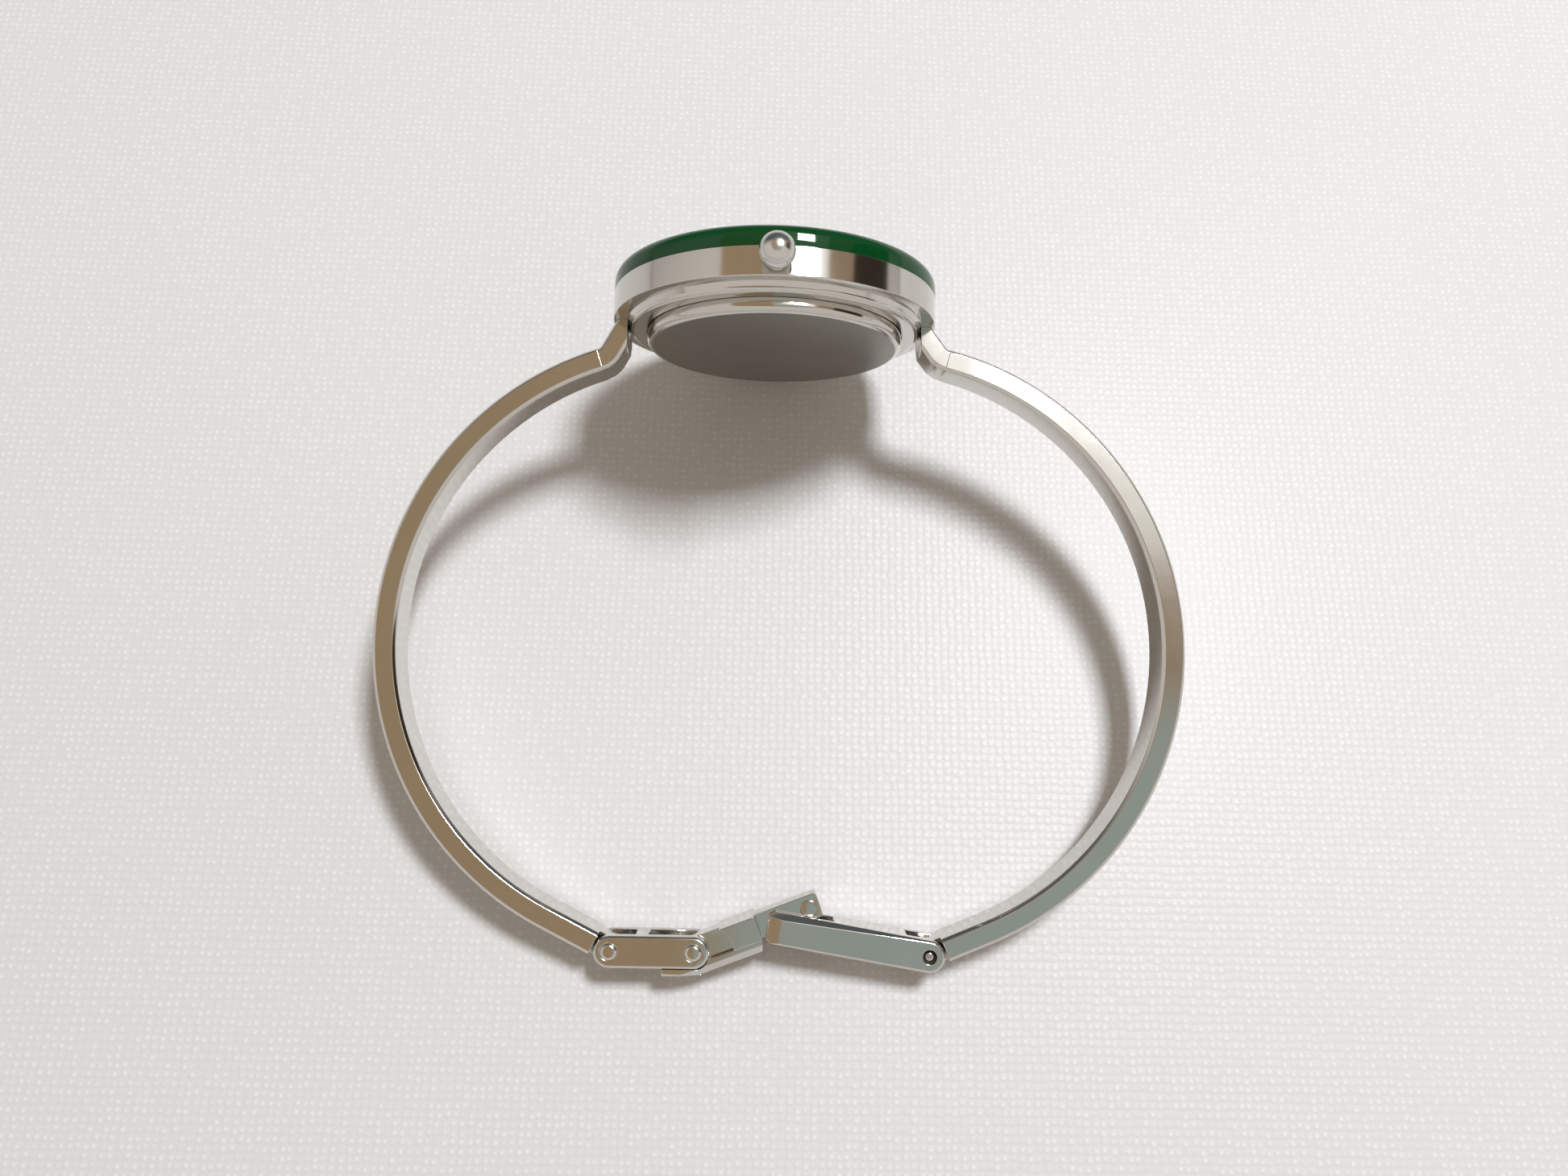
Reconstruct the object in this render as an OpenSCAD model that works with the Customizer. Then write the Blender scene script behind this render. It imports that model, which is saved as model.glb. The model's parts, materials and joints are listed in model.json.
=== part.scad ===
// Bangle wristwatch lying on its side, crown up, with its fold-over clasp half open.
// Millimetres. The floor is Z = 0. X runs along the bangle's width.
// The bangle is drawn flat in its own plane and then leaned onto the floor by rest_pose().
// In that plane +Y points to the dial, -Y to the clasp and +Z to the crown.

$fn = 96;

/* [Bangle] */
// Outside width across both arms
bangle_width = 60; // [52:1:68]
// Distance of each arm's bend centre from the middle line
arm_centre = 6.8; // [4:0.2:9]
// Thickness of the arm strip
arm_thick = 1.7; // [1.4:0.1:2.2]
// Width of the arm strip along the wrist
arm_width = 3.4; // [3:0.1:4.4]
// Bevel on the long edges of the arms
arm_bevel = 0.22; // [0.1:0.02:0.3]
// How far the head sits to the left of the bangle's middle
head_shift = 1.0; // [0:0.1:1.5]
// Half distance between the two knees where the arms turn up to the case
knee_reach = 13.1; // [12.6:0.1:13.8]
// Radius in the corner of each knee
knee_bend = 0.6; // [0.4:0.05:0.9]
// Depth of each lug's seat under the band
lug_land = 0.85; // [0.6:0.05:1]
// How far the case back's flat lies inside the arms' outer curve
head_sink = 0.65; // [0.4:0.05:0.8]

/* [Case] */
// Outside diameter of the case band
case_dia = 24.44; // [23.6:0.1:26]
// Height of the case band
band_height = 2.05; // [1.9:0.05:2.6]
// Height of the straight wall of the step under the band
step_height = 0.32; // [0.2:0.02:0.4]
// How far the step is set in from the band
step_inset = 1.15; // [0.9:0.05:1.3]
// Rounding of the step's edge
step_round = 0.33; // [0.2:0.01:0.4]
// Draft of the step's wall, which leans it towards the back
step_draft = 0.22; // [0.1:0.02:0.3]
// Width of the step from its wall to the case back
step_width = 1.39; // [1.2:0.03:1.6]
// How far the case back stands proud of the step
back_rise = 1.0; // [0.9:0.05:1.2]
// Rounding of the case back's rim
back_round = 0.52; // [0.3:0.02:0.6]
// Height of the bezel ring
bezel_height = 1.65; // [1.5:0.05:2.1]
// Rounding of the bezel's outer edge
bezel_round = 0.9; // [0.5:0.05:1.0]

/* [Dial and crystal] */
// Dial thickness
dial_thick = 0.4; // [0.3:0.05:0.5]
// Width of the ledge the dial sits on
dial_ledge = 0.6; // [0.5:0.05:0.8]
// Clear height between dial and crystal
hand_room = 0.7; // [0.68:0.02:0.9]
// Crystal thickness
crystal_thick = 0.8; // [0.6:0.05:0.9]
// Wall of the crystal gasket
gasket_wall = 0.3; // [0.2:0.05:0.4]
// Height of the raised hour batons
marker_height = 0.12; // [0.08:0.02:0.14]
// Thickness of each hand
hand_thick = 0.12; // [0.08:0.02:0.14]

/* [Movement and crown] */
// Width of the plastic ring that holds the movement
holder_wall = 1.65; // [1.6:0.05:2]
// Battery diameter
battery_dia = 5.8; // [4.8:0.2:6.8]
// Battery thickness
battery_thick = 1.2; // [1.0:0.05:1.3]
// Diameter of the winding stem
stem_dia = 0.8; // [0.7:0.05:0.9]
// Diameter of the ball crown
crown_dia = 2.45; // [2:0.05:3]
// Gap between case band and ball
crown_stand = 0.55; // [0.45:0.05:0.9]
// Travel of the crown when it is pulled out
crown_pull = 0.8; // [0.4:0.1:0.8]

/* [Clasp] */
// Distance of the left arm's pivot from the middle
pivot_left = 12; // [11.5:0.1:12.6]
// Distance of the right arm's pivot from the middle
pivot_right = 11.2; // [10.8:0.1:11.8]
// How far the pivots lie outside the arms' middle curve
pivot_drop = 0.03; // [0.02:0.01:0.2]
// Pivot distance of the short link
link_length = 6.08; // [5.8:0.05:6.4]
// Half height of the link and of the catch
clasp_round = 1.15; // [1.05:0.05:1.3]
// Bevel on the clasp's outer edges
clasp_bevel = 0.15; // [0.08:0.01:0.2]
// Width of the slots that take the tongues
slot_width = 1.8; // [1.6:0.05:2]
// Side play of a tongue in its slot
side_play = 0.05; // [0.03:0.01:0.08]
// Rivet diameter
rivet_dia = 1.2; // [1:0.05:1.3]
// Rivet head's rise above the cheek
rivet_rise = 0.1; // [0.06:0.02:0.14]
// Diameter of the recessed pin at the right arm
catch_rivet_dia = 0.72; // [0.6:0.02:0.9]
// Radial running gap of the hinge pins
pin_gap = 0.05; // [0.03:0.01:0.08]
// Angle of the lever from the link as it lies
lever_angle = 20.8; // [18:0.2:24]
// Length of the lever from its pivot to the nose
nose_reach = 9.75; // [9.3:0.05:9.9]
// Distance of the catch pin from the nose end
pin_back = 0.85; // [0.75:0.05:1]
// Lever depth on the wrist side of its pivot line
lever_in = 0.95; // [0.8:0.05:1]
// Lever depth on the outer side of its pivot line
lever_out = 0.85; // [0.75:0.05:0.95]
// Thickness of the lever's outer plate
plate_thick = 0.86; // [0.6:0.02:1]
// Bevel along the outer plate's edges
plate_bevel = 0.5; // [0.2:0.05:0.6]
// Thickness of the nail tab
tab_thick = 0.48; // [0.4:0.02:0.55]
// How far the nail tab runs back along the link
tab_reach = 2.27; // [1.8:0.05:2.6]
// Width of the outer plate
plate_width = 3.0; // [2.6:0.05:3.1]
// Length of the catch from its pivot to its free end
catch_reach = 11.95; // [11.4:0.05:12]
// Cut across the corners of the catch's free end
catch_corner = 0.35; // [0.2:0.05:0.5]
// Length of the slope on the cheeks at the catch's free end
catch_slope = 0.95; // [0.6:0.05:1.2]
// Depth of that slope at the end
catch_drop = 0.2; // [0.1:0.02:0.3]
// Bevel on the catch's wrist side at its free end, narrowing towards the pivot
catch_bevel = 0.5; // [0.3:0.05:0.55]
// Angle by which the catch is swung in from the line of the pivots
catch_angle = 9.2; // [6:0.2:11]
// Least gap between swinging clasp pieces
swing_gap = 0.12; // [0.1:0.02:0.2]

/* [Hidden] */
arm_outer = bangle_width / 2 - arm_centre;
arm_mid = arm_outer - arm_thick / 2;
arm_inner = arm_outer - arm_thick;
pivot_y = -(arm_mid + pivot_drop);
// the bent end is a little thinner and reaches into the arm, so that no face of one lies on the other's
knee_step = 0.03;
knee_lap = 5;

// heights along the head's axis, measured from the bangle's centre
back_z = arm_outer - head_sink;
step_z = back_z + back_rise;
wall_z = step_z + step_round;
band_z = wall_z + step_height;
seam_z = band_z + band_height;
top_z = seam_z + bezel_height;
shelf_z = step_z + 0.3;
gasket_thick = 0.2;
shoulder_z = shelf_z - gasket_thick;
lip_z = shelf_z + 0.1;
move_z = lip_z + 0.1;
dial_z = seam_z - dial_thick;
crystal_z = seam_z + hand_room;
crown_z = band_z + band_height / 2;

// radii of the head
case_r = case_dia / 2;
step_r = case_r - step_inset;
step_top_r = step_r + step_draft / 2;
step_low_r = step_r - step_draft / 2;
rim_r = step_r - step_width;
seat_gap = 0.05;
cavity_r = rim_r - 0.38;
dial_r = cavity_r + dial_ledge;
move_r = cavity_r - holder_wall;
battery_x = -move_r * 0.42;
battery_y = move_r * 0.28;
crystal_r = dial_r;
bezel_bore_r = crystal_r + gasket_wall;
bezel_ledge_r = dial_r - 0.35;
stem_r = stem_dia / 2;
tube_r = stem_r + 0.4;
crown_r = crown_dia / 2;
crown_y = case_r + crown_stand + crown_r;
yoke_y = cavity_r - crown_pull - 0.45;
groove_r = stem_r - 0.12;
post_r = 0.45;
pipe_r = 0.75;
hole_r = 0.95;
hour_z = seam_z + marker_height + 0.06;
minute_z = hour_z + hand_thick + 0.08;
post_top = minute_z + hand_thick + 0.04;

// clasp geometry
tongue_width = slot_width - 2 * side_play;
rivet_r = rivet_dia / 2;
catch_rivet_r = catch_rivet_dia / 2;
knuckle_r = clasp_round - 0.15;
shoulder_gap = clasp_round + 0.1;
pivot_span = pivot_left + pivot_right - link_length;
shoulder_reach = pivot_span - catch_reach - swing_gap;
nose_corner = sqrt(nose_reach * nose_reach + lever_in * lever_in);
web_reach = pivot_span - nose_corner - swing_gap;
pin_reach = nose_reach - pin_back;
bevel_cut = plate_bevel * sqrt(2);
link_left_slot = 1.8;
link_right_slot = 2.8;
catch_slot = 1.75;
catch_end = sqrt(pow(catch_reach, 2) - pow(clasp_round - catch_corner, 2));
catch_bevel_from = 0.6;
catch_bevel_lean = atan((catch_bevel - clasp_bevel) / (catch_end - catch_bevel_from) / sqrt(2));
pin_x = -pivot_left + link_length + pin_reach * cos(lever_angle);
pin_y = pivot_y + pin_reach * sin(lever_angle);
latch_reach = sqrt(pow(pivot_right - pin_x, 2) + pow(pivot_y - pin_y, 2));

// the lean that puts the case band and the clasp's lower edges on the floor together
clasp_low = clasp_round - clasp_bevel - pivot_y;
lean = atan((case_r - arm_width / 2) / (band_z + clasp_low));
lift = case_r * cos(lean) - band_z * sin(lean);
front_y = (top_z - bezel_round) * cos(lean) + (case_r - bezel_round) * sin(lean) + bezel_round;
tab_low = clasp_round + side_play + tab_thick - pivot_y;
rear_y = -tab_low * cos(lean) - plate_width / 2 * sin(lean);
slide_y = -(front_y + rear_y) / 2;

module rest_pose() {
    translate([0, slide_y, lift])
        rotate([lean, 0, 0])
            children();
}

// head frame: local z runs to the dial, local -y runs to the crown, local x to twelve o'clock
module head_frame() {
    rest_pose()
        translate([-head_shift, 0, 0])
            rotate([-90, 0, 0])
                children();
}

// frame with local z along the stem, pointing out of the case
module stem_frame() {
    head_frame()
        translate([0, 0, crown_z])
            rotate([90, 0, 0])
                children();
}

module ring(r_in, r_out, low, high) {
    translate([0, 0, low])
        difference() {
            cylinder(r = r_out, h = high - low);
            translate([0, 0, -1])
                cylinder(r = r_in, h = high - low + 2);
        }
}

module disc(r, low, high) {
    translate([0, 0, low])
        cylinder(r = r, h = high - low);
}

// case and case furniture

module case_middle() {
    color("silver")
        head_frame()
            difference() {
                union() {
                    rotate_extrude() {
                        translate([0, step_z])
                            square([step_low_r - step_round, step_round]);
                        intersection() {
                            translate([step_low_r - step_round, wall_z])
                                circle(r = step_round);
                            translate([step_low_r - step_round, step_z])
                                square([step_round, step_round]);
                        }
                    }
                    translate([0, 0, wall_z])
                        cylinder(r1 = step_low_r, r2 = step_top_r, h = step_height);
                    disc(case_r, band_z, seam_z);
                }
                disc(rim_r + seat_gap, step_z - 1, shelf_z);
                disc(cavity_r, step_z - 1, seam_z + 1);
                disc(dial_r + seat_gap, dial_z, seam_z + 1);
                translate([0, 0, crown_z])
                    rotate([90, 0, 0])
                        cylinder(r = tube_r, h = case_r + 1);
            }
}

module bezel_ring() {
    color("darkgreen")
        head_frame()
            rotate_extrude() {
                polygon([
                    [bezel_ledge_r, seam_z],
                    [case_r, seam_z],
                    [case_r, top_z - bezel_round],
                    [case_r - bezel_round, top_z],
                    [bezel_bore_r + 0.25, top_z],
                    [bezel_bore_r, top_z - 0.15],
                    [bezel_bore_r, crystal_z],
                    [bezel_ledge_r, crystal_z]
                ]);
                intersection() {
                    translate([case_r - bezel_round, top_z - bezel_round])
                        circle(r = bezel_round);
                    translate([case_r - bezel_round, top_z - bezel_round])
                        square([bezel_round, bezel_round]);
                }
            }
}

module crystal() {
    color([0.8, 0.9, 0.95, 0.4])
        head_frame()
            union() {
                disc(crystal_r, crystal_z, crystal_z + crystal_thick - 0.15);
                translate([0, 0, crystal_z + crystal_thick - 0.15])
                    cylinder(r1 = crystal_r, r2 = crystal_r - 0.15, h = 0.15);
            }
}

module crystal_gasket() {
    color("gray")
        head_frame()
            ring(crystal_r, bezel_bore_r, crystal_z, crystal_z + crystal_thick - 0.2);
}

module dial() {
    color("white")
        head_frame()
            ring(hole_r, dial_r, dial_z, seam_z);
}

module hour_markers() {
    color("silver")
        head_frame()
            for (i = [0 : 11])
                rotate([0, 0, -30 * i])
                    translate([dial_r * 0.82 - 0.75, -0.18, seam_z])
                        cube([1.5, 0.36, marker_height]);
}

module hand(length, tail, width, hub_r, bore_r, low, angle) {
    head_frame()
        rotate([0, 0, -angle])
            translate([0, 0, low])
                linear_extrude(hand_thick)
                    difference() {
                        union() {
                            circle(r = hub_r);
                            translate([-tail, -width / 2])
                                square([length + tail, width]);
                        }
                        circle(r = bore_r);
                    }
}

module hour_hand() {
    color("silver")
        hand(dial_r * 0.52, 1.3, 0.55, 1.15, pipe_r, hour_z, 305);
}

module minute_hand() {
    color("silver")
        hand(dial_r * 0.76, 1.5, 0.42, 0.85, post_r, minute_z, 60);
}

module hour_pipe() {
    color("gold")
        head_frame()
            ring(post_r + pin_gap, pipe_r, dial_z - 0.3, hour_z + hand_thick);
}

module minute_post() {
    color("gold")
        head_frame()
            disc(post_r, dial_z - 1.0, post_top);
}

// movement and setting train

module movement() {
    color("goldenrod")
        head_frame()
            difference() {
                disc(move_r, move_z, dial_z);
                disc(hole_r, dial_z - 0.4, dial_z + 1);
                disc(post_r + pin_gap, dial_z - 1.1, dial_z);
                translate([battery_x, battery_y, 0])
                    disc(battery_dia / 2 + seat_gap, move_z - 1, move_z + battery_thick);
                translate([0, 0, crown_z])
                    rotate([90, 0, 0])
                        translate([0, 0, move_r * 0.5])
                            cylinder(r = stem_r + pin_gap, h = move_r);
            }
}

module movement_holder() {
    color("white")
        head_frame()
            difference() {
                ring(move_r, cavity_r - seat_gap, lip_z, dial_z);
                translate([-1.2, -cavity_r - 1, crown_z - 0.75])
                    cube([2.4, cavity_r + 1 - move_r * 0.9, 4]);
            }
}

module battery() {
    color("silver")
        head_frame()
            translate([battery_x, battery_y, 0])
                disc(battery_dia / 2, move_z, move_z + battery_thick);
}

module battery_clip() {
    color("gold")
        head_frame()
            translate([battery_x, battery_y, move_z - 0.1])
                rotate([0, 0, atan2(battery_y, battery_x)])
                    translate([-0.6, -battery_dia / 2 - 0.7, 0])
                        cube([1.2, battery_dia + 1.4, 0.1]);
}

module setting_yoke() {
    color("gray")
        stem_frame()
            translate([0, 0, yoke_y])
                linear_extrude(0.3)
                    difference() {
                        translate([-0.9, -0.65])
                            square([1.8, 1.2]);
                        circle(r = groove_r + pin_gap);
                        translate([-groove_r - pin_gap, -1])
                            square([2 * (groove_r + pin_gap), 1]);
                    }
}

module stem() {
    color("silver")
        stem_frame()
            difference() {
                translate([0, 0, move_r * 0.55])
                    cylinder(r = stem_r, h = crown_y - crown_r + 0.6 - move_r * 0.55);
                ring(groove_r, stem_r + 1, yoke_y - side_play, yoke_y + 0.3 + side_play);
            }
}

module crown() {
    color("silver")
        stem_frame()
            difference() {
                union() {
                    translate([0, 0, crown_y])
                        sphere(r = crown_r);
                    translate([0, 0, crown_y - crown_r - 0.1])
                        cylinder(r = tube_r - 0.15, h = 1);
                }
                cylinder(r = stem_r, h = crown_y - crown_r + 0.6);
            }
}

module crown_tube() {
    color("silver")
        stem_frame()
            ring(stem_r + pin_gap, tube_r, dial_r + 3 * seat_gap, case_r + crown_stand - 0.25);
}

// case back

module case_back() {
    color("gray")
        head_frame()
            union() {
                rotate_extrude() {
                    polygon([
                        [0, back_z],
                        [rim_r - back_round, back_z],
                        [rim_r, back_z + back_round],
                        [rim_r, shoulder_z],
                        [0, shoulder_z]
                    ]);
                    intersection() {
                        translate([rim_r - back_round, back_z + back_round])
                            circle(r = back_round);
                        translate([rim_r - back_round, back_z])
                            square([back_round, back_round]);
                    }
                }
                ring(cavity_r - 0.6, cavity_r - 0.08, shoulder_z, lip_z);
            }
}

module case_back_gasket() {
    color("black")
        head_frame()
            ring(cavity_r + 0.03, rim_r, shoulder_z, shelf_z);
}

// arms, drawn for the right side with the case centre at head_x

module strip_section(mid, inset = 0) {
    half = arm_thick / 2 - inset;
    side = arm_width / 2 - inset;
    polygon([
        [mid - half, -side + arm_bevel],
        [mid - half + arm_bevel, -side],
        [mid + half - arm_bevel, -side],
        [mid + half, -side + arm_bevel],
        [mid + half, side - arm_bevel],
        [mid + half - arm_bevel, side],
        [mid - half + arm_bevel, side],
        [mid - half, side - arm_bevel]
    ]);
}

// a core that ties a straight length to the bend where their end faces meet
module strip_core(mid) {
    translate([mid, 0, 0])
        cube([arm_thick / 2, 0.8, arm_width / 2], center = true);
}

module arm_shape(pivot_x, head_x, bore_r) {
    pivot_far = sqrt(pow(pivot_x - arm_centre, 2) + pow(pivot_y, 2));
    low_angle = atan2(pivot_y, pivot_x - arm_centre) + acos(arm_mid / pivot_far);
    straight = sqrt(pivot_far * pivot_far - arm_mid * arm_mid);
    // the strip bends up at the knee and leans in to its seat under the band
    knee_angle = acos((head_x + knee_reach - arm_centre) / arm_outer);
    knee_y = arm_outer * sin(knee_angle);
    lug_lean = atan((knee_reach - step_r - lug_land) / (band_z - knee_y));
    top_angle = knee_angle - asin(knee_bend * tan((knee_angle - lug_lean) / 2) / arm_outer);
    bend_mid = knee_bend + arm_thick / 2;
    bend_x = arm_centre + (arm_mid + bend_mid) * cos(top_angle);
    bend_y = (arm_mid + bend_mid) * sin(top_angle);
    lug_length = (band_z - bend_y + bend_mid * sin(lug_lean)) / cos(lug_lean) + arm_thick;
    difference() {
        union() {
            translate([arm_centre, 0, 0])
                rotate([0, 0, low_angle]) {
                    rotate_extrude(angle = top_angle - low_angle)
                        strip_section(arm_mid);
                    rotate([90, 0, 0])
                        linear_extrude(straight - shoulder_gap)
                            strip_section(arm_mid);
                    strip_core(arm_mid);
                    translate([arm_mid, -straight, -tongue_width / 2]) {
                        cylinder(r = knuckle_r, h = tongue_width);
                        translate([-arm_thick / 2, 0, 0])
                            cube([arm_thick, shoulder_gap + 0.2, tongue_width]);
                    }
                }
            translate([bend_x, bend_y, 0])
                rotate([0, 0, 180 + lug_lean]) {
                    rotate_extrude(angle = top_angle - lug_lean + knee_lap)
                        strip_section(bend_mid, knee_step);
                    rotate([90, 0, 0])
                        linear_extrude(lug_length)
                            strip_section(bend_mid, knee_step);
                    strip_core(bend_mid);
                }
        }
        translate([pivot_x, pivot_y, -arm_width])
            cylinder(r = bore_r + pin_gap, h = 2 * arm_width);
        translate([head_x, 0, 0])
            rotate([-90, 0, 0]) {
                disc(step_top_r, step_z - 2, band_z + 1);
                disc(case_r + arm_thick, band_z, band_z + lug_length + arm_thick);
            }
    }
}

module left_arm() {
    color("silver")
        rest_pose()
            mirror([1, 0, 0])
                arm_shape(pivot_left, head_shift, rivet_r);
}

module right_arm() {
    color("silver")
        rest_pose()
            arm_shape(pivot_right, -head_shift, catch_rivet_r);
}

// clasp, each piece drawn from its own pivot

module link_frame() {
    rest_pose()
        translate([-pivot_left, pivot_y, 0])
            children();
}

module lever_frame() {
    link_frame()
        translate([link_length, 0, 0])
            rotate([0, 0, lever_angle])
                children();
}

module catch_frame() {
    rest_pose()
        translate([pivot_right, pivot_y, 0])
            rotate([0, 0, 180 - catch_angle])
                children();
}

module edged_round() {
    side = arm_width / 2 - clasp_bevel;
    cylinder(r = clasp_round, h = 2 * side, center = true);
    translate([0, 0, side])
        cylinder(r1 = clasp_round, r2 = clasp_round - clasp_bevel, h = clasp_bevel);
    translate([0, 0, -arm_width / 2])
        cylinder(r1 = clasp_round - clasp_bevel, r2 = clasp_round, h = clasp_bevel);
}

module edged_bar(length) {
    side = arm_width / 2;
    rotate([90, 0, 90])
        linear_extrude(length)
            polygon([
                [-clasp_round, -side + clasp_bevel],
                [-clasp_round + clasp_bevel, -side],
                [clasp_round - clasp_bevel, -side],
                [clasp_round, -side + clasp_bevel],
                [clasp_round, side - clasp_bevel],
                [clasp_round - clasp_bevel, side],
                [-clasp_round + clasp_bevel, side],
                [-clasp_round, side - clasp_bevel]
            ]);
}

module edged_slab(length) {
    edged_round();
    translate([length, 0, 0])
        edged_round();
    edged_bar(length);
}

module through_hole(x, r) {
    translate([x, 0, -arm_width])
        cylinder(r = r, h = 2 * arm_width);
}

module slot(x0, x1) {
    translate([x0, -2 * clasp_round, -slot_width / 2])
        cube([x1 - x0, 4 * clasp_round, slot_width]);
}

module rivet(r) {
    cylinder(r = r, h = arm_width, center = true);
    translate([0, 0, arm_width / 2])
        cylinder(r1 = r, r2 = r - 0.18, h = rivet_rise);
    translate([0, 0, -arm_width / 2 - rivet_rise])
        cylinder(r1 = r - 0.18, r2 = r, h = rivet_rise);
}

module clasp_link() {
    color("silver")
        link_frame()
            difference() {
                edged_slab(link_length);
                slot(-2 * clasp_round, link_left_slot);
                slot(link_right_slot, link_length + 2 * clasp_round);
                through_hole(0, rivet_r);
                through_hole(link_length, rivet_r);
            }
}

module arm_rivet() {
    color("silver")
        link_frame()
            rivet(rivet_r);
}

module lever_rivet() {
    color("silver")
        link_frame()
            translate([link_length, 0, 0])
                rivet(rivet_r);
}

module lever_blade() {
    translate([0, 0, -tongue_width / 2])
        linear_extrude(tongue_width)
            union() {
                circle(r = lever_in);
                translate([0, -lever_out])
                    square([nose_reach, lever_in + lever_out]);
            }
}

module lever_shoulder() {
    translate([0, 0, -arm_width / 2])
        linear_extrude(arm_width)
            intersection() {
                difference() {
                    translate([clasp_round + 0.2, -lever_out])
                        square([shoulder_reach, lever_in + lever_out]);
                    translate([clasp_round + 0.2, -0.3])
                        circle(r = 1.55);
                }
                circle(r = shoulder_reach);
            }
}

module clasp_lever() {
    color("silver")
        lever_frame()
            difference() {
                union() {
                    lever_blade();
                    lever_shoulder();
                }
                through_hole(0, rivet_r + pin_gap);
                through_hole(pin_reach, rivet_r);
            }
}

module lever_plate() {
    color("silver")
        lever_frame()
            difference() {
                translate([0, 0, -plate_width / 2])
                    linear_extrude(plate_width)
                        intersection() {
                            difference() {
                                union() {
                                    translate([0, -lever_out - plate_thick])
                                        square([shoulder_reach, plate_thick]);
                                    rotate(-lever_angle)
                                        translate([-tab_reach, -clasp_round - side_play - tab_thick])
                                            square([tab_reach + 0.6, tab_thick]);
                                }
                                circle(r = clasp_round + side_play);
                            }
                            circle(r = shoulder_reach);
                        }
                // bevels along the plate's outer edges
                for (side = [-1, 1])
                    translate([0, -lever_out - plate_thick, side * plate_width / 2])
                        rotate([45, 0, 0])
                            cube([3 * shoulder_reach, bevel_cut, bevel_cut], center = true);
            }
}

module catch_pin() {
    color("silver")
        lever_frame()
            translate([pin_reach, 0, 0])
                cylinder(r = rivet_r, h = tongue_width + side_play, center = true);
}

// what is cut from one cheek of the catch: the slope at its free end and the bevel on its wrist side
module catch_cheek_cuts() {
    side = arm_width / 2;
    translate([catch_end - catch_slope, -2 * clasp_round, side])
        rotate([0, atan(catch_drop / catch_slope), 0])
            cube([2 * catch_slope, 4 * clasp_round, clasp_round]);
    translate([catch_bevel_from, -clasp_round, side - clasp_bevel])
        rotate([45, 0, 0])
            rotate([0, catch_bevel_lean, 0])
                translate([-clasp_round, -2 * clasp_round, 0])
                    cube([catch_reach + 2 * clasp_round, 4 * clasp_round, clasp_round]);
}

module catch_link() {
    color("silver")
        catch_frame()
            difference() {
                union() {
                    edged_round();
                    edged_bar(catch_end);
                }
                catch_cheek_cuts();
                mirror([0, 0, 1])
                    catch_cheek_cuts();
                for (s = [-1, 1])
                    translate([catch_end, s * clasp_round, 0])
                        rotate([0, 0, 45])
                            cube([catch_corner * sqrt(2), catch_corner * sqrt(2), 2 * arm_width], center = true);
                slot(-2 * clasp_round, catch_slot);
                slot(web_reach, catch_reach + 2 * clasp_round);
                through_hole(0, catch_rivet_r);
                for (s = [-1, 1])
                    translate([0, 0, s * arm_width / 2])
                        cylinder(r = catch_rivet_r + 0.16, h = 0.6, center = true);
                translate([latch_reach, 0, 0])
                    cylinder(r = rivet_r + 0.05, h = slot_width + 0.2, center = true);
            }
}

module catch_rivet() {
    color("silver")
        catch_frame()
            cylinder(r = catch_rivet_r, h = arm_width - 0.3, center = true);
}

case_middle();
bezel_ring();
crystal();
crystal_gasket();
dial();
hour_markers();
hour_hand();
hour_pipe();
minute_hand();
minute_post();
movement();
movement_holder();
battery();
battery_clip();
setting_yoke();
stem();
crown();
crown_tube();
case_back();
case_back_gasket();
left_arm();
right_arm();
clasp_link();
arm_rivet();
lever_rivet();
clasp_lever();
lever_plate();
catch_pin();
catch_link();
catch_rivet();
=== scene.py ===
"""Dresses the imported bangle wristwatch: finishes, softened edges, the dial's print, the studio."""

import json
import math

import bmesh
import bpy
from mathutils import Matrix, Vector

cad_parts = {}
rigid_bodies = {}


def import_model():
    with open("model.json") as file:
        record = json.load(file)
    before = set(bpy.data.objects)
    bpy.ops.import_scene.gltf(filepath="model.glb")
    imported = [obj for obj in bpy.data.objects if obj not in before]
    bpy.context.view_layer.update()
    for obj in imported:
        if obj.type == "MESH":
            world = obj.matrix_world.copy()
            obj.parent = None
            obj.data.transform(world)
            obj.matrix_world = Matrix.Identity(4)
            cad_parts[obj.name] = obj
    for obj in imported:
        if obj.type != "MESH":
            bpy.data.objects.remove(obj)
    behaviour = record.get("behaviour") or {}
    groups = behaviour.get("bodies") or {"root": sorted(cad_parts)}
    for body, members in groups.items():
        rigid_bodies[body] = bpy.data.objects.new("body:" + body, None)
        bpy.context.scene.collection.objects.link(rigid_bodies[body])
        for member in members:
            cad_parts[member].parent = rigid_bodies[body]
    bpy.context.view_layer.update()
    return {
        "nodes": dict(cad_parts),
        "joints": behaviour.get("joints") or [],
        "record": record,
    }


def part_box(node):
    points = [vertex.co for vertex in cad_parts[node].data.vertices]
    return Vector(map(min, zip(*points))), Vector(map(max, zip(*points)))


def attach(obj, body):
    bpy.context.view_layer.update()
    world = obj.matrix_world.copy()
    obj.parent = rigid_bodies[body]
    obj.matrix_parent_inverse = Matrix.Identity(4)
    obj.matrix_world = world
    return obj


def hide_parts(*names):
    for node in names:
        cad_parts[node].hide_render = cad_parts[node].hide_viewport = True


for leftover in list(bpy.data.objects):
    bpy.data.objects.remove(leftover)

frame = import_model()
NODES = frame["nodes"]
JOINTS = {joint["name"]: joint for joint in frame["joints"]}
SLOT_OF = {part["node"]: part["material_slot"] for part in frame["record"]["subparts"]}
BODIES = frame["record"]["behaviour"]["bodies"]
BODY_OF = {node: body for body, nodes in BODIES.items() for node in nodes}

MM = 0.001

# one period of a wave texture, in units of its scale
WAVE_PERIOD = math.pi / 10

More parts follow.
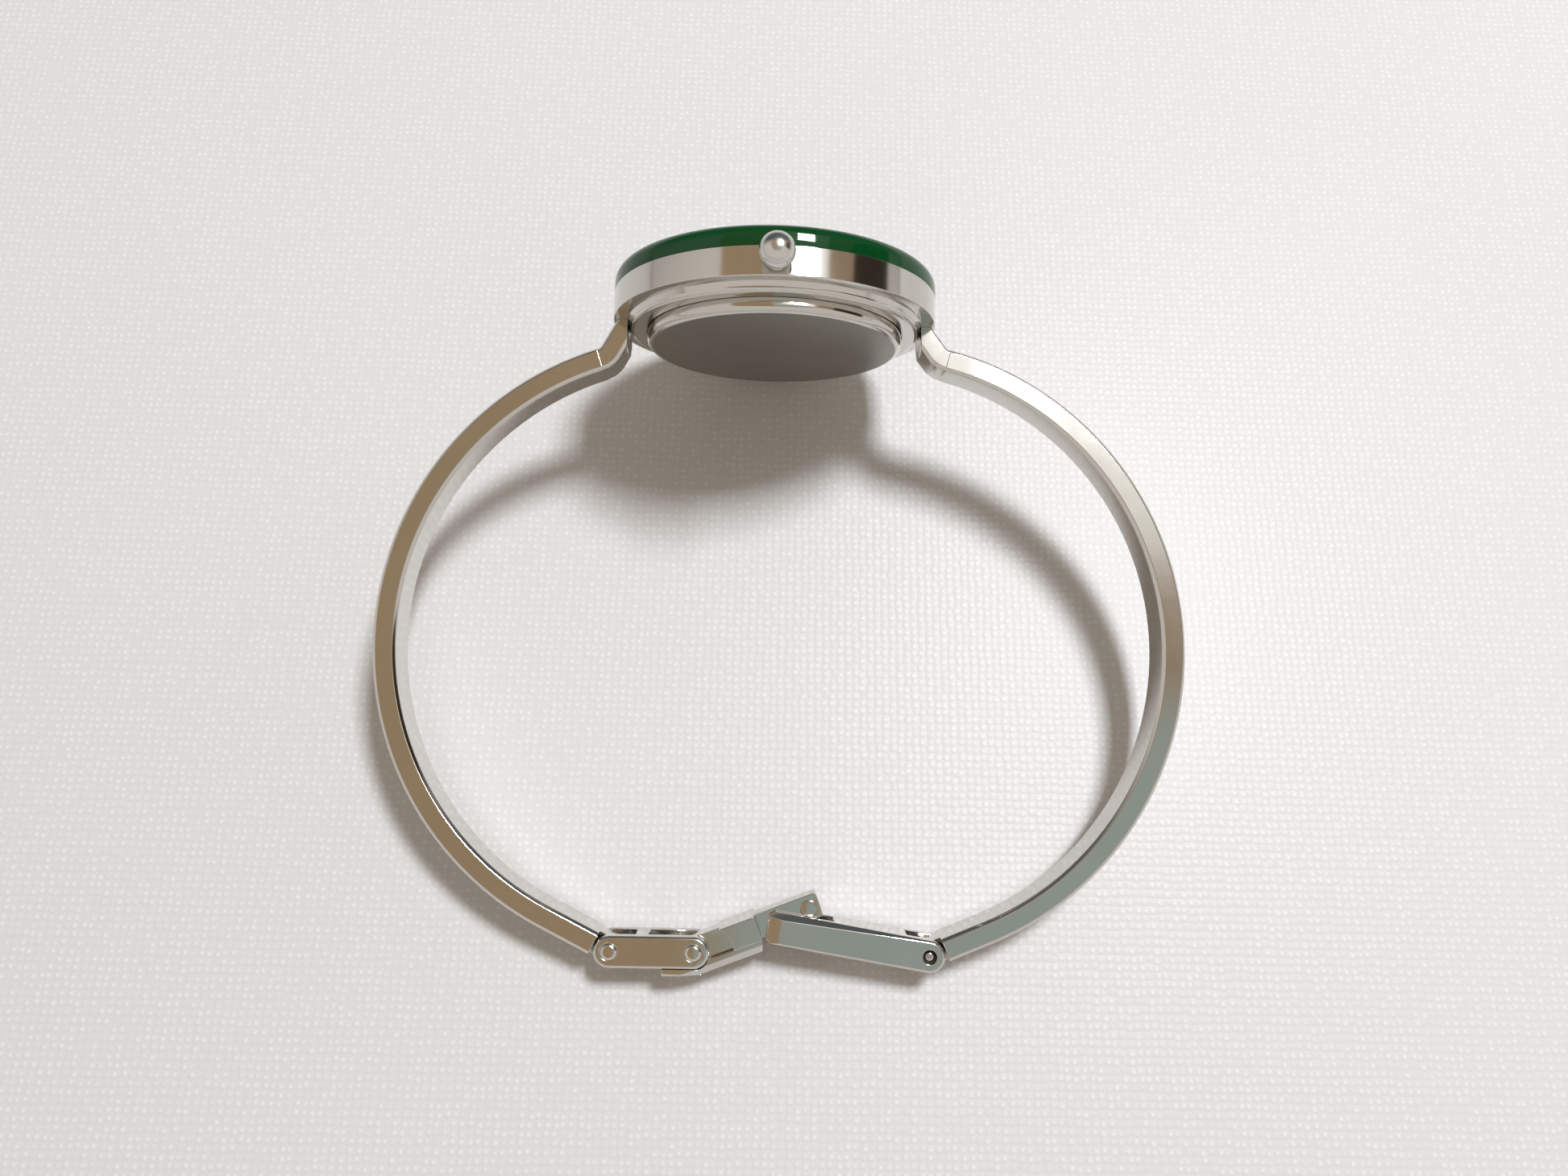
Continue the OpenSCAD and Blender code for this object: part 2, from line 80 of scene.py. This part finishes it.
# the photograph, and the camera that was fitted to it
PHOTO_WIDTH = 1946
FOCAL_PIXELS = 1460
SENSOR_WIDTH = 36.0
CAMERA_PLACE = Vector((-1.481, -24.811, 92.398)) * MM
CAMERA_TURN = (17.0884, -1.3643, 0.8973)
NEAREST_SEEN = 5 * MM

# the floor, in metres
FLOOR_HALF_WIDTH = 3.0

# the ceiling panels in metres, and their light in watts for each square metre and steradian
PANEL_RADIANCE = 69.0
PANEL_COLOUR = "#F6FAFF"
PANEL_WIDTH = 0.1725
REAR_PANEL_DEPTH = 0.195
REAR_PANEL_PLACE = (0.274, 0.305, 0.815)
FRONT_PANEL_DEPTH = 0.1275
FRONT_PANEL_PLACE = (0.274, 0.144, 0.815)

# where the room's parts begin, as the two ends of a soft edge in the view direction's x, y or z
REAR_WALL_Y = (0.1, 0.7)
CEILING_Z = (0.78, 0.81)
RIGHT_CEILING_X = (-0.035, -0.022)
BEAM_Y = (-0.23, -0.19)
WHITE_CEILING_Y = (-0.13, -0.08)
DOORWAY_X = (0.52, 0.58)
DOORWAY_Z = (0.15, 0.2)
DOORWAY_FRONT_Y = (-0.15, -0.05)
DOORWAY_REAR_Y = (0.5, 0.4)
DOORWAY_DARK_X = (0.755, 0.775)

# the dial's printed track
TRACK_RADIUS = 9.4 * MM
TRACK_LINE = 0.05 * MM
TRACK_THICKNESS = 0.015 * MM
TICK_LENGTH = 0.4 * MM
TICKS = 60
HOUR_TICK_EVERY = 5
HOUR_TICK_LINES = 2.2

# the head's axis runs through the hands' joint, from the case back to the dial
HEAD_AXIS = -Vector(JOINTS["minute_turn"]["axis"]).normalized()
HEAD_CENTRE = Vector(JOINTS["minute_turn"]["pos_m"])
STEM_AXIS = Vector(JOINTS["crown_turn"]["axis"]).normalized()
HEAD_AXES = Matrix((STEM_AXIS, HEAD_AXIS.cross(STEM_AXIS), HEAD_AXIS)).transposed().to_4x4()
HEAD_PLACE = Matrix.Translation(HEAD_CENTRE) @ HEAD_AXES

# sections of the turned case pieces, in millimetres:
# radius, height above the seam, and the corner's rounding if it has one
SECTIONS = {
    "case_middle": [
        (9.3, -0.4), (9.3, -2.4), (9.73, -2.4), (9.73, -2.7), (10.96, -2.7, 0.33), (10.96, -2.37),
        (11.18, -2.05), (12.22, -2.05), (12.22, 0), (9.95, 0), (9.95, -0.4)],
    "bezel_ring": [
        (9.55, 0), (12.22, 0), (12.22, 1.65, 0.9), (10.45, 1.65), (10.2, 1.5), (10.2, 0.7),
        (9.55, 0.7)],
    "case_back": [
        (0, -3.7), (9.68, -3.7, 0.52), (9.68, -2.6), (9.22, -2.6), (9.22, -2.3), (8.7, -2.3),
        (8.7, -2.6), (0, -2.6)],
}
TURN_STEPS = 180
ROUNDING_STEPS = 10
CROWN_HOLE_RADIUS = 0.8 * MM
CROWN_HOLE_FROM = 8.5 * MM
CROWN_HOLE_TO = 13.5 * MM
CROWN_HOLE_HEIGHT = -1.025 * MM
CROWN_HOLE_STEPS = 72

# where the clasp's pins pass through its pieces
CLASP_HINGES = ("link_hinge", "lever_hinge", "catch_hinge")
PIN_PLACES = {name: Vector(JOINTS[name]["pos_m"]) for name in CLASP_HINGES}
PIN_PLACES["catch_pin"] = sum(map(Vector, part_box("catch_pin")), Vector()) / 2
PINS_IN = {
    "left_arm": ["link_hinge"],
    "clasp_link": ["link_hinge", "lever_hinge"],
    "clasp_lever": ["lever_hinge", "catch_pin"],
    "catch_link": ["catch_hinge"],
    "right_arm": ["catch_hinge"],
}

# the recess round the catch's pin, with a little over
RECESS_RADIUS = 0.53 * MM

# edges that show, and how far each piece's are rounded, in millimetres
SOFT_EDGES = {
    "case_middle": 0.04, "bezel_ring": 0.02, "case_back": 0.05, "crown": 0.04, "crown_tube": 0.04,
    "left_arm": 0.05, "right_arm": 0.05,
    "clasp_link": 0.07, "arm_rivet": 0.04, "lever_rivet": 0.04,
    "clasp_lever": 0.06, "lever_plate": 0.05, "catch_pin": 0.04,
    "catch_link": 0.05, "catch_rivet": 0.15,
    "crystal": 0.03, "hour_markers": 0.03, "hour_hand": 0.02, "minute_hand": 0.02,
}
EDGE_STEPS = 3

# points closer than this are one point
MERGE = 0.0005 * MM
# faces that meet at less than this are one flat
FLAT_ANGLE = math.radians(0.5)
# edges that turn by more than this are sharp
SHARP_ANGLE = math.radians(25)
# the case back's flat face leans no further than this from the head's axis
BRUSHED_ANGLE = math.radians(6)


def linear(code):
    """An sRGB hex colour as the linear colour that Blender's sockets take."""
    parts = [int(code[i:i + 2], 16) / 255 for i in (1, 3, 5)]
    colour = [c / 12.92 if c <= 0.04045 else ((c + 0.055) / 1.055) ** 2.4 for c in parts]
    return (*colour, 1.0)


def per_mm(pitch):
    """The texture scale, in metres, whose features are about that many millimetres apart."""
    return 1 / (pitch * MM)


def add_node(tree, kind, inputs=None, **settings):
    """Adds one node; inputs gives its sockets a value, or another node's output to link."""
    node = tree.nodes.new("ShaderNode" + kind)
    for name, value in settings.items():
        setattr(node, name, value)
    for name, value in (inputs or {}).items():
        if isinstance(value, bpy.types.NodeSocket):
            tree.links.new(value, node.inputs[name])
        else:
            node.inputs[name].default_value = value
    return node


def start_material(name, **constants):
    """A material with one Principled shader, whose all-over values are set on its own sockets."""
    material = bpy.data.materials.new(name)
    material.use_nodes = True
    tree = material.node_tree
    tree.nodes.clear()
    values = {key.replace("_", " "): value for key, value in constants.items()}
    surface = add_node(tree, "BsdfPrincipled", values)
    add_node(tree, "OutputMaterial", {"Surface": surface.outputs["BSDF"]})
    return material, tree, surface


def part_coordinates(tree):
    """Object coordinates, which are the part's own frame in metres."""
    return add_node(tree, "TexCoord").outputs["Object"]


def head_coordinates(tree):
    """Object coordinates moved to the head's centre and turned so that z runs along its axis."""
    unturned = HEAD_AXIS.to_track_quat("Z", "X").inverted().to_euler()
    ends = {0: part_coordinates(tree), 1: HEAD_CENTRE}
    centred = add_node(tree, "VectorMath", ends, operation="SUBTRACT").outputs["Vector"]
    return add_node(tree, "Mapping", {"Vector": centred, "Rotation": unturned}).outputs["Vector"]


def stretch(tree, place, scale):
    """Coordinates scaled along each axis, so that a pattern on them is drawn out."""
    return add_node(tree, "Mapping", {"Vector": place, "Scale": scale}).outputs["Vector"]


def noise(tree, place, pitch, detail, roughness=0.5):
    """Cloudy noise from 0 to 1, with patches about a pitch apart in millimetres."""
    inputs = {"Vector": place, "Scale": per_mm(pitch), "Detail": detail, "Roughness": roughness}
    return add_node(tree, "TexNoise", inputs).outputs["Fac"]


def blend(tree, mask, under, over):
    """The second colour over the first, where the mask is 1."""
    inputs = {"Factor": mask, "A": under, "B": over}
    return add_node(tree, "Mix", inputs, data_type="RGBA").outputs["Result"]


def set_colour(tree, surface, mask, low, high):
    """Colours a surface between two hex colours."""
    tree.links.new(blend(tree, mask, linear(low), linear(high)), surface.inputs["Base Color"])


def set_roughness(tree, surface, mask, low, high):
    """Varies a surface's roughness between two values."""
    ramp = add_node(tree, "MapRange", {"Value": mask, "To Min": low, "To Max": high})
    tree.links.new(ramp.outputs["Result"], surface.inputs["Roughness"])


def set_relief(tree, surface, height, strength, depth, **settings):
    """Gives a surface a fine relief, with its depth in millimetres."""
    inputs = {"Height": height, "Strength": strength, "Distance": depth * MM}
    relief = add_node(tree, "Bump", inputs, **settings)
    tree.links.new(relief.outputs["Normal"], surface.inputs["Normal"])


def polished_steel():
    """Stainless steel buffed to a mirror: sharp reflections, hairlines and handling smears."""
    material, tree, surface = start_material("polished_stainless_steel", Metallic=1.0)
    place = part_coordinates(tree)
    smears = noise(tree, place, pitch=5, detail=4.0, roughness=0.6)
    # buffing hairlines lie about 0.02 mm apart, and are drawn at 0.15 mm so that they show
    hairlines = noise(tree, stretch(tree, place, (0.25, 1.0, 1.0)), pitch=0.15, detail=2.0)
    set_colour(tree, surface, smears, "#C6C2BB", "#D3D0CB")
    set_roughness(tree, surface, smears, 0.06, 0.15)
    set_relief(tree, surface, hairlines, strength=0.12, depth=0.004)
    return material


def brushed_steel():
    """Stainless steel with a straight satin grain: a soft sheen that dims away from the light."""
    material, tree, surface = start_material(
        "brushed_stainless_steel", Metallic=1.0, Anisotropic=0.4)
    place = head_coordinates(tree)
    # the grain is about 0.03 mm wide, and is drawn at 0.09 mm so that it shows
    grain = noise(tree, stretch(tree, place, (0.03, 1.0, 1.0)), pitch=0.09, detail=3.0)
    patches = noise(tree, place, pitch=6, detail=3.0)
    set_colour(tree, surface, patches, "#94918B", "#A6A39D")
    set_roughness(tree, surface, grain, 0.27, 0.42)
    set_relief(tree, surface, grain, strength=0.3, depth=0.006)
    return material


def tumbled_steel():
    """Stainless steel tumbled smooth: a soft polish that spreads each light into a broad spot."""
    material, tree, surface = start_material("tumbled_stainless_steel", Metallic=1.0)
    # tumbling leaves dents of about 0.3 mm
    dents = noise(tree, part_coordinates(tree), pitch=0.3, detail=2.0)
    set_colour(tree, surface, dents, "#C9C6C1", "#D8D6D2")
    set_roughness(tree, surface, dents, 0.16, 0.26)
    set_relief(tree, surface, dents, strength=0.15, depth=0.01)
    return material


def recess_shade_steel():
    """Steel painted nearly black, standing for the shade in the recess round the catch's pin, with a
    half gloss.
    """
    material, tree, surface = start_material("painted_recess_shade_steel", Metallic=0.4)
    # painted shade, mottled at random about 0.25 mm apart in colour and gloss
    shade_mottle = noise(tree, part_coordinates(tree), pitch=0.25, detail=3.0)
    set_colour(tree, surface, shade_mottle, "#1C1A17", "#38342E")
    set_roughness(tree, surface, shade_mottle, 0.35, 0.6)
    return material


def green_enamel():
    """Deep green fired enamel under a clear glaze: even colour, slight depth, a wet gloss."""
    material, tree, surface = start_material("green_enamel", IOR=1.52, Specular_IOR_Level=0.3)
    depth = noise(tree, part_coordinates(tree), pitch=3, detail=3.0, roughness=0.55)
    set_colour(tree, surface, depth, "#063D1A", "#0B4D23")
    set_roughness(tree, surface, depth, 0.02, 0.07)
    return material


def mineral_glass():
    """Flat mineral glass: clear and polished, with faint wiping marks in the gloss."""
    material, tree, surface = start_material("mineral_glass", Transmission_Weight=1.0, IOR=1.52)
    surface.inputs["Base Color"].default_value = linear("#FAFCFB")
    wiping = noise(tree, part_coordinates(tree), pitch=3.5, detail=5.0)
    set_roughness(tree, surface, wiping, 0.0, 0.05)
    return material


def sunray_dial():
    """Silvered brass brushed out from the centre: pale rays that vary round the dial."""
    material, tree, surface = start_material("sunray_silvered_brass", Metallic=0.4)
    place = add_node(tree, "SeparateXYZ", {"Vector": head_coordinates(tree)}).outputs
    angle = add_node(tree, "Math", {0: place["Y"], 1: place["X"]}, operation="ARCTAN2")
    # the rays come from strokes about a degree apart
    strokes = {"W": angle.outputs["Value"], "Scale": 57.0, "Detail": 3.0}
    rays = add_node(tree, "TexNoise", strokes, noise_dimensions="1D").outputs["Fac"]
    set_colour(tree, surface, rays, "#D8D5CD", "#F0EEE8")
    set_roughness(tree, surface, rays, 0.3, 0.5)
    return material


def rhodium_plate():
    """Rhodium plated brass, diamond cut: a cold bright metal with fine cutting marks."""
    material, tree, surface = start_material("rhodium_plated_brass", Metallic=1.0)
    cuts = noise(tree, part_coordinates(tree), pitch=0.2, detail=2.0)
    set_colour(tree, surface, cuts, "#B9BBBD", "#D2D4D6")
    set_roughness(tree, surface, cuts, 0.08, 0.22)
    return material


def turned_brass():
    """Lathe turned brass: warm yellow metal with concentric tool marks."""
    material, tree, surface = start_material("turned_brass", Metallic=1.0)
    place = head_coordinates(tree)
    # the tool advances about 0.05 mm a turn, and is drawn at 0.2 mm so that it shows
    marks = {"Vector": place, "Scale": per_mm(0.2) * WAVE_PERIOD, "Distortion": 0.4}
    rings = add_node(tree, "TexWave", marks, wave_type="RINGS", rings_direction="Z").outputs["Fac"]
    stains = noise(tree, place, pitch=2.5, detail=3.0)
    set_colour(tree, surface, stains, "#B8923F", "#D6B465")
    set_roughness(tree, surface, rings, 0.2, 0.36)
    return material


def moulded_acetal():
    """Moulded acetal: an ivory plastic with a faint grain from the mould."""
    material, tree, surface = start_material("moulded_acetal", IOR=1.48, Roughness=0.5)
    grain = noise(tree, part_coordinates(tree), pitch=0.3, detail=3.0)
    set_colour(tree, surface, grain, "#D9D6CB", "#E6E3D9")
    set_relief(tree, surface, grain, strength=0.2, depth=0.01)
    return material


def satin_steel():
    """Rolled steel sheet and wire: grey, with a satin gloss and fine rolling marks."""
    material, tree, surface = start_material("rolled_satin_steel", Metallic=1.0)
    place = stretch(tree, part_coordinates(tree), (1.0, 0.1, 1.0))
    rolling = noise(tree, place, pitch=0.15, detail=2.0)
    set_colour(tree, surface, rolling, "#9FA09F", "#BCBDBC")
    set_roughness(tree, surface, rolling, 0.2, 0.38)
    return material


def nitrile_rubber():
    """Black nitrile rubber: a dull skin with a fine bloom."""
    material, tree, surface = start_material("nitrile_rubber", IOR=1.52)
    bloom = noise(tree, part_coordinates(tree), pitch=0.4, detail=4.0)
    set_colour(tree, surface, bloom, "#161616", "#2A2A29")
    set_roughness(tree, surface, bloom, 0.55, 0.75)
    return material


def dial_ink():
    """Black pad printing ink: matt, a little uneven where the pad left it thin."""
    material, tree, surface = start_material("pad_printing_ink", IOR=1.5, Roughness=0.6)
    thin = noise(tree, part_coordinates(tree), pitch=0.5, detail=2.0)
    set_colour(tree, surface, thin, "#1B1B1C", "#343435")
    return material


def coated_cloth():
    """The floor: white vinyl on woven cloth, whose threads stand up as bumps, with a painted
    highlight on each bump's crown.
    """
    material, tree, surface = start_material(
        "vinyl_coated_cloth", IOR=1.5, Specular_IOR_Level=0.13, Roughness=0.36)
    place = part_coordinates(tree)
    # the weave's bumps are about 0.6 mm apart
    threads = {"Vector": place, "Scale": per_mm(0.6), "Randomness": 0.3}
    weave = add_node(tree, "TexVoronoi", threads).outputs["Distance"]
    stains = noise(tree, place, pitch=45, detail=4.0)
    vinyl = blend(tree, stains, linear("#E3E2E1"), linear("#E9E8E7"))
    # each bump's crown is painted paler, a painted highlight standing for the weave's glints
    crowns = add_node(tree, "MapRange", {"Value": weave, "From Min": 0.35, "From Max": 0.0})
    painted_crown_glints = blend(tree, crowns.outputs["Result"], vinyl, linear("#F9F8F7"))
    tree.links.new(painted_crown_glints, surface.inputs["Base Color"])
    set_relief(tree, surface, weave, strength=0.7, depth=0.05, invert=True)
    return material


def set_camera():
    """The camera that took the photograph, as fitted to its edges."""
    data = bpy.data.cameras.new("photo_camera")
    data.sensor_width = SENSOR_WIDTH
    data.lens = SENSOR_WIDTH * FOCAL_PIXELS / PHOTO_WIDTH
    data.clip_start = NEAREST_SEEN
    camera = bpy.data.objects.new("photo_camera", data)
    camera.location = CAMERA_PLACE
    camera.rotation_euler = [math.radians(angle) for angle in CAMERA_TURN]
    bpy.context.scene.collection.objects.link(camera)
    bpy.context.scene.camera = camera


def lay_floor():
    """A wide sheet of the pale cloth under the watch."""
    mesh = bpy.data.meshes.new("floor")
    sheet = bmesh.new()
    bmesh.ops.create_grid(sheet, x_segments=1, y_segments=1, size=FLOOR_HALF_WIDTH)
    sheet.to_mesh(mesh)
    sheet.free()
    floor = bpy.data.objects.new("floor", mesh)
    bpy.context.scene.collection.objects.link(floor)
    floor.data.materials.append(coated_cloth())


def hang_panel(name, depth, place):
    """One flat ceiling panel that shines straight down."""
    data = bpy.data.lights.new(name, "AREA")
    data.shape = "RECTANGLE"
    data.size = PANEL_WIDTH
    data.size_y = depth
    data.energy = PANEL_RADIANCE * math.pi * PANEL_WIDTH * depth
    data.color = linear(PANEL_COLOUR)[:3]
    lamp = bpy.data.objects.new(name, data)
    lamp.location = place
    bpy.context.scene.collection.objects.link(lamp)
    return lamp


def hang_lamps():
    """A ceiling panel makes the soft shadows, and one in front of it shows only in the gloss."""
    hang_panel("ceiling_panel", REAR_PANEL_DEPTH, REAR_PANEL_PLACE)
    front = hang_panel("ceiling_panel_front", FRONT_PANEL_DEPTH, FRONT_PANEL_PLACE)
    front.visible_diffuse = False


def fill_room():
    """The room: pale walls, a tan and a white ceiling, a beam, and a doorway at the right."""
    world = bpy.data.worlds.new("room")
    bpy.context.scene.world = world
    world.use_nodes = True
    tree = world.node_tree
    tree.nodes.clear()
    direction = add_node(tree, "TexCoord").outputs["Generated"]
    toward = add_node(tree, "SeparateXYZ", {"Vector": direction}).outputs

    def edge(axis, ends):
        """Rises from 0 to 1 between two values of the view direction along an axis."""
        inputs = {"Value": toward[axis], "From Min": ends[0], "From Max": ends[1]}
        return add_node(tree, "MapRange", inputs, interpolation_type="SMOOTHSTEP").outputs["Result"]

    def join(operation, *masks):
        """The masks multiplied together, or the largest of them."""
        result = masks[0]
        for mask in masks[1:]:
            joined = add_node(tree, "Math", {0: result, 1: mask}, operation=operation)
            result = joined.outputs["Value"]
        return result

    walls = blend(tree, edge("Y", REAR_WALL_Y), linear("#E2DCD6"), linear("#5F6668"))
    beam = blend(tree, edge("Y", BEAM_Y), linear("#A9B5B1"), linear("#A8947C"))
    right = blend(tree, edge("Y", WHITE_CEILING_Y), beam, linear("#FFFDF8"))
    ceiling = blend(tree, edge("X", RIGHT_CEILING_X), linear("#AD9779"), right)
    room = blend(tree, edge("Z", CEILING_Z), walls, ceiling)
    doorway = blend(tree, edge("X", DOORWAY_DARK_X), linear("#A58F76"), linear("#3A332A"))
    in_doorway = join("MULTIPLY", edge("X", DOORWAY_X), edge("Z", DOORWAY_Z),
                      edge("Y", DOORWAY_FRONT_Y), edge("Y", DOORWAY_REAR_Y))
    # the camera and the polished faces see the room, and matt faces get its even warm light
    ray = add_node(tree, "LightPath").outputs
    seen = join("MAXIMUM", ray["Is Camera Ray"], ray["Is Glossy Ray"], ray["Is Transmission Ray"])
    view = blend(tree, seen, linear("#998F84"), blend(tree, in_doorway, room, doorway))
    light = add_node(tree, "Background", {"Color": view, "Strength": 1.0})
    add_node(tree, "OutputWorld", {"Surface": light.outputs["Background"]})


FINISHES = {
    "polished_steel": polished_steel(),
    "brushed_back": brushed_steel(),
    "green_bezel": green_enamel(),
    "crystal_glass": mineral_glass(),
    "gasket_rubber": nitrile_rubber(),
    "dial_paint": sunray_dial(),
    "hand_steel": rhodium_plate(),
    "brass_train": turned_brass(),
    "holder_plastic": moulded_acetal(),
    "battery_steel": satin_steel(),
}


def finish_solids():
    """Every solid takes the finish of its material slot in the record."""
    for name, solid in NODES.items():
        solid.data.materials.clear()
        solid.data.materials.append(FINISHES[SLOT_OF[name]])


def round_edges(shape, edges, width, steps):
    """Rounds some of a shape's edges, with the width in millimetres."""
    bmesh.ops.bevel(shape, geom=edges, offset=width * MM, offset_type="OFFSET", segments=steps,
                    profile=0.5, affect="EDGES", clamp_overlap=False, material=-1)


def turn(section):
    """Turns a section into a ring or disc about the z axis, with its rounded corners."""
    shape = bmesh.new()
    half_step = Matrix.Rotation(math.pi / TURN_STEPS, 3, "Z")
    corners = [shape.verts.new(half_step @ Vector((radius, 0, height)) * MM)
               for radius, height, *_ in section]
    sides = list(zip(corners, corners[1:])) + ([(corners[-1], corners[0])] if section[0][0] else [])
    outline = [shape.edges.new(side) for side in sides]
    bmesh.ops.spin(shape, geom=corners + outline, cent=(0, 0, 0), axis=(0, 0, 1),
                   angle=2 * math.pi, steps=TURN_STEPS, use_merge=True)
    bmesh.ops.remove_doubles(shape, verts=shape.verts, dist=MERGE)
    bmesh.ops.recalc_face_normals(shape, faces=shape.faces)
    for radius, height, *rounding in section:
        if rounding:
            here = [point for point in shape.verts if abs(point.co.z - height * MM) < MERGE
                    and abs(point.co.to_2d().length - radius * MM) < MERGE]
            rim = [edge for edge in shape.edges if all(point in here for point in edge.verts)]
            round_edges(shape, rim, rounding[0], ROUNDING_STEPS)
            bmesh.ops.remove_doubles(shape, verts=shape.verts, dist=MERGE)
    return shape


def drill_crown_hole(shape):
    """Cuts the crown tube's hole through the turned case, whose crown side is at x."""
    case_mesh = bpy.data.meshes.new("case_blank")
    shape.to_mesh(case_mesh)
    shape.free()
    case = bpy.data.objects.new("case_blank", case_mesh)
    drill = bmesh.new()
    middle = ((CROWN_HOLE_FROM + CROWN_HOLE_TO) / 2, 0, CROWN_HOLE_HEIGHT)
    bmesh.ops.create_cone(drill, cap_ends=True, segments=CROWN_HOLE_STEPS,
                          radius1=CROWN_HOLE_RADIUS, radius2=CROWN_HOLE_RADIUS,
                          depth=CROWN_HOLE_TO - CROWN_HOLE_FROM,
                          matrix=Matrix.Translation(middle) @ Matrix.Rotation(math.pi / 2, 4, "Y"))
    drill_mesh = bpy.data.meshes.new("crown_drill")
    drill.to_mesh(drill_mesh)
    drill.free()
    tool = bpy.data.objects.new("crown_drill", drill_mesh)
    for item in (case, tool):
        bpy.context.scene.collection.objects.link(item)
    cut = case.modifiers.new("crown_hole", "BOOLEAN")
    cut.operation = "DIFFERENCE"
    cut.solver = "EXACT"
    cut.object = tool
    drilled = bmesh.new()
    drilled.from_object(case, bpy.context.evaluated_depsgraph_get())
    for item in (case, tool):
        bpy.data.objects.remove(item)
    return drilled


def turned_piece(name):
    """A round case piece, turned more finely than its solid's mesh."""
    shape = turn(SECTIONS[name])
    if name == "case_middle":
        shape = drill_crown_hole(shape)
    bmesh.ops.transform(shape, matrix=HEAD_PLACE, verts=shape.verts)
    return shape


def merged_copy(name):
    """A copy of a solid with one face for each flat, parted at the pins to keep holes clean."""
    shape = bmesh.new()
    shape.from_mesh(NODES[name].data)
    bmesh.ops.remove_doubles(shape, verts=shape.verts, dist=MERGE)
    for pin in PINS_IN.get(name, []):
        everything = shape.verts[:] + shape.edges[:] + shape.faces[:]
        parting = bmesh.ops.bisect_plane(shape, geom=everything, dist=MERGE,
                                         plane_co=PIN_PLACES[pin], plane_no=(1, 0, 0))
        for item in parting["geom_cut"]:
            if isinstance(item, bmesh.types.BMEdge):
                item.seam = True
    bmesh.ops.dissolve_limit(shape, angle_limit=FLAT_ANGLE, verts=shape.verts, edges=shape.edges,
                             delimit={"SEAM"})
    return shape


def soften(name, width):
    """Stands in for a solid with a copy whose sharp outer edges are rounded, to catch the light."""
    shape = turned_piece(name) if name in SECTIONS else merged_copy(name)
    sharp = [edge for edge in shape.edges if edge.calc_face_angle() > SHARP_ANGLE]
    for edge in sharp:
        edge.smooth = edge.is_convex
    round_edges(shape, [edge for edge in sharp if edge.is_convex], width, EDGE_STEPS)
    mesh = bpy.data.meshes.new(name + "_soft")
    shape.to_mesh(mesh)
    shape.free()
    if "custom_normal" in mesh.attributes:
        mesh.attributes.remove(mesh.attributes["custom_normal"])
    for face in mesh.polygons:
        face.use_smooth = True
    mesh.materials.clear()
    mesh.materials.append(FINISHES[SLOT_OF[name]])
    piece = bpy.data.objects.new(name + "_soft", mesh)
    bpy.context.scene.collection.objects.link(piece)
    flats = piece.modifiers.new("flat_faces", "WEIGHTED_NORMAL")
    flats.keep_sharp = True
    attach(piece, BODY_OF[name])
    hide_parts(name)
    return piece


def paint_recess_shade(piece):
    """Paints shade into the recess round the catch's pin: the faces wholly inside it take the dark
    steel.
    """
    piece.data.materials.append(recess_shade_steel())
    pin = Vector(JOINTS["catch_hinge"]["axis"]).normalized()
    points = [point.co - PIN_PLACES["catch_hinge"] for point in piece.data.vertices]
    in_recess = [(place - pin * place.dot(pin)).length < RECESS_RADIUS for place in points]
    for face in piece.data.polygons:
        face.material_index = 1 if all(in_recess[index] for index in face.vertices) else 0


def polish_rim(piece):
    """The case back is brushed only on its flat face: everything else on it is polished."""
    piece.data.materials.append(FINISHES["polished_steel"])
    for face in piece.data.polygons:
        face.material_index = 0 if face.normal.angle(-HEAD_AXIS) < BRUSHED_ANGLE else 1


def print_minute_track():
    """Sixty fine ticks on a thin ring, printed on the dial outside the hour markers."""
    dial_points = NODES["dial"].data.vertices
    dial_top = max((point.co - HEAD_CENTRE).dot(HEAD_AXIS) for point in dial_points)
    low, high = -TRACK_THICKNESS / 2, TRACK_THICKNESS / 2
    near, far = TRACK_RADIUS - TRACK_LINE / 2, TRACK_RADIUS + TRACK_LINE / 2
    corners = ((near, low), (far, low), (far, high), (near, high))
    ink = turn([(radius / MM, height / MM) for radius, height in corners])
    tick_middle = TRACK_RADIUS - (TICK_LENGTH + TRACK_LINE) / 2
    for minute in range(TICKS):
        width = TRACK_LINE * (HOUR_TICK_LINES if minute % HOUR_TICK_EVERY == 0 else 1.0)
        to_minute = Matrix.Rotation(math.radians(360 / TICKS * minute), 4, "Z")
        place = to_minute @ Matrix.Translation((tick_middle, 0, 0))
        size = Matrix.Diagonal((TICK_LENGTH, width, TRACK_THICKNESS, 1))
        bmesh.ops.create_cube(ink, size=1, matrix=place @ size)
    bmesh.ops.recalc_face_normals(ink, faces=ink.faces)
    on_dial = Matrix.Translation(HEAD_CENTRE + HEAD_AXIS * (dial_top + TRACK_THICKNESS / 2))
    facing = HEAD_AXIS.to_track_quat("Z", "X").to_matrix().to_4x4()
    bmesh.ops.transform(ink, verts=ink.verts, matrix=on_dial @ facing)
    mesh = bpy.data.meshes.new("minute_track")
    ink.to_mesh(mesh)
    ink.free()
    mesh.materials.append(dial_ink())
    track = bpy.data.objects.new("minute_track", mesh)
    bpy.context.scene.collection.objects.link(track)
    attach(track, "base")


bpy.context.scene.view_settings.view_transform = "Standard"
set_camera()
lay_floor()
fill_room()
hang_lamps()
finish_solids()
soft_pieces = {name: soften(name, rounding) for name, rounding in SOFT_EDGES.items()}
polish_rim(soft_pieces["case_back"])
# the recess round the catch's pin gets painted shade
paint_recess_shade(soft_pieces["catch_link"])
soft_pieces["crown"].data.materials[0] = tumbled_steel()
print_minute_track()
